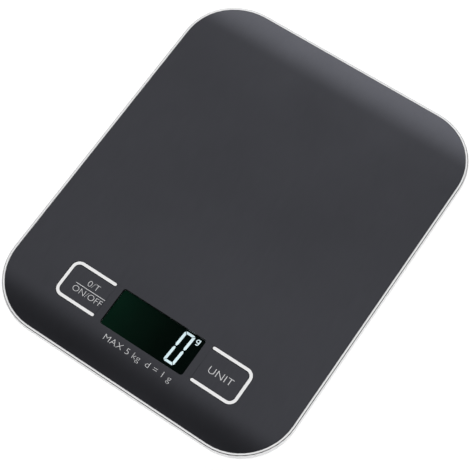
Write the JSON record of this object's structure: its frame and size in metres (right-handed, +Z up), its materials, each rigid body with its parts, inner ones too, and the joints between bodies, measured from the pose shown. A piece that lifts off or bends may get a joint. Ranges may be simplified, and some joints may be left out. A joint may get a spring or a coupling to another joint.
{
  "type": "kitchen scale",
  "caption": "Slim digital kitchen scale: flat steel platform in a rim, display window between two press buttons at the front, weighing feet and a battery bay below.",
  "frame": {"origin": "on the table, under the middle of the body", "axes": "+Z up, +Y towards the rear edge, away from the display, +X to the right as the user faces the display"},
  "size_m": [0.184, 0.23, 0.018],
  "materials": {
    "dark_steel": "satin charcoal coating on stainless sheet",
    "white_abs": "fine satin white moulding",
    "smoked_lens": "polished, dark green tint",
    "lcd_cell": "dark negative display cell",
    "black_plastic": "fine matt moulding",
    "diffuser": "milky light guide",
    "board_green": "green solder mask on glass-epoxy board",
    "grey_rubber": "soft matt rubber",
    "bright_steel": "zinc or nickel plated",
    "white_potting": "cured white sealing compound",
    "red_wire": "red wire insulation",
    "black_wire": "black wire insulation",
    "cell_jacket": "printed sleeve on a steel can"
  },
  "bodies": {
    "housing": {"platform_panel": "dark_steel", "top_housing": "white_abs", "bottom_housing": "white_abs", "display_lens": "smoked_lens", "lcd_glass": "lcd_cell", "lcd_bezel": "black_plastic", "zero_switch_body": "black_plastic", "unit_switch_body": "black_plastic", "controller_chip": "black_plastic", "backlight_guide": "diffuser", "main_board": "board_green", "zebra_strip_front": "grey_rubber", "zebra_strip_rear": "grey_rubber", "battery_front": "cell_jacket", "battery_rear": "cell_jacket", "contact_positive": "bright_steel", "contact_negative": "bright_steel", "contact_bridge": "bright_steel", "battery_lead_red": "red_wire", "battery_lead_black": "black_wire", "board_screw_front_left": "bright_steel", "housing_screw_front_left": "bright_steel", "sensor_plate_front_left": "bright_steel", "strain_gauge_front_left": "white_potting", "sensor_holder_front_left": "black_plastic", "foot_cup_front_left": "white_abs", "foot_pad_front_left": "grey_rubber", "sensor_lead_front_left": "black_wire", "board_screw_front_right": "bright_steel", "housing_screw_front_right": "bright_steel", "sensor_plate_front_right": "bright_steel", "strain_gauge_front_right": "white_potting", "sensor_holder_front_right": "black_plastic", "foot_cup_front_right": "white_abs", "foot_pad_front_right": "grey_rubber", "sensor_lead_front_right": "black_wire", "board_screw_rear_left": "bright_steel", "housing_screw_rear_left": "bright_steel", "sensor_plate_rear_left": "bright_steel", "strain_gauge_rear_left": "white_potting", "sensor_holder_rear_left": "black_plastic", "foot_cup_rear_left": "white_abs", "foot_pad_rear_left": "grey_rubber", "sensor_lead_rear_left": "black_wire", "board_screw_rear_right": "bright_steel", "housing_screw_rear_right": "bright_steel", "sensor_plate_rear_right": "bright_steel", "strain_gauge_rear_right": "white_potting", "sensor_holder_rear_right": "black_plastic", "foot_cup_rear_right": "white_abs", "foot_pad_rear_right": "grey_rubber", "sensor_lead_rear_right": "black_wire"},
    "zero_button": {"zero_button_plate": "dark_steel", "zero_button_key": "white_abs"},
    "unit_button": {"unit_button_plate": "dark_steel", "unit_button_key": "white_abs"},
    "zero_plunger": {"zero_switch_plunger": "white_abs"},
    "unit_plunger": {"unit_switch_plunger": "white_abs"},
    "battery_cover": {"battery_cover": "white_abs"}
  },
  "joints": [
    {"name": "zero_button_press", "type": "hinge", "parent": "housing", "child": "zero_button", "pos_m": [-0.0313, -0.0794, 0.0173], "axis": [0, -1, 0], "range_deg": [0, 1.4], "stiffness_Nm_per_rad": 1.6},
    {"name": "zero_switch_press", "type": "slide", "parent": "housing", "child": "zero_plunger", "axis": [0, 0, -1], "range_m": [0, 0.0004]},
    {"name": "unit_button_press", "type": "hinge", "parent": "housing", "child": "unit_button", "pos_m": [0.0313, -0.0794, 0.0173], "axis": [0, 1, 0], "range_deg": [0, 1.4], "stiffness_Nm_per_rad": 1.6},
    {"name": "unit_switch_press", "type": "slide", "parent": "housing", "child": "unit_plunger", "axis": [0, 0, -1], "range_m": [0, 0.0004]},
    {"name": "battery_cover_hinge", "type": "hinge", "parent": "housing", "child": "battery_cover", "pos_m": [0, 0.03345, 0.003], "axis": [1, 0, 0], "range_deg": [0, 80]}
  ],
  "couplings": [
    {"joint": "zero_switch_press", "follows": "zero_button_press", "m_per_rad": 0.0157},
    {"joint": "unit_switch_press", "follows": "unit_button_press", "m_per_rad": 0.0157}
  ]
}
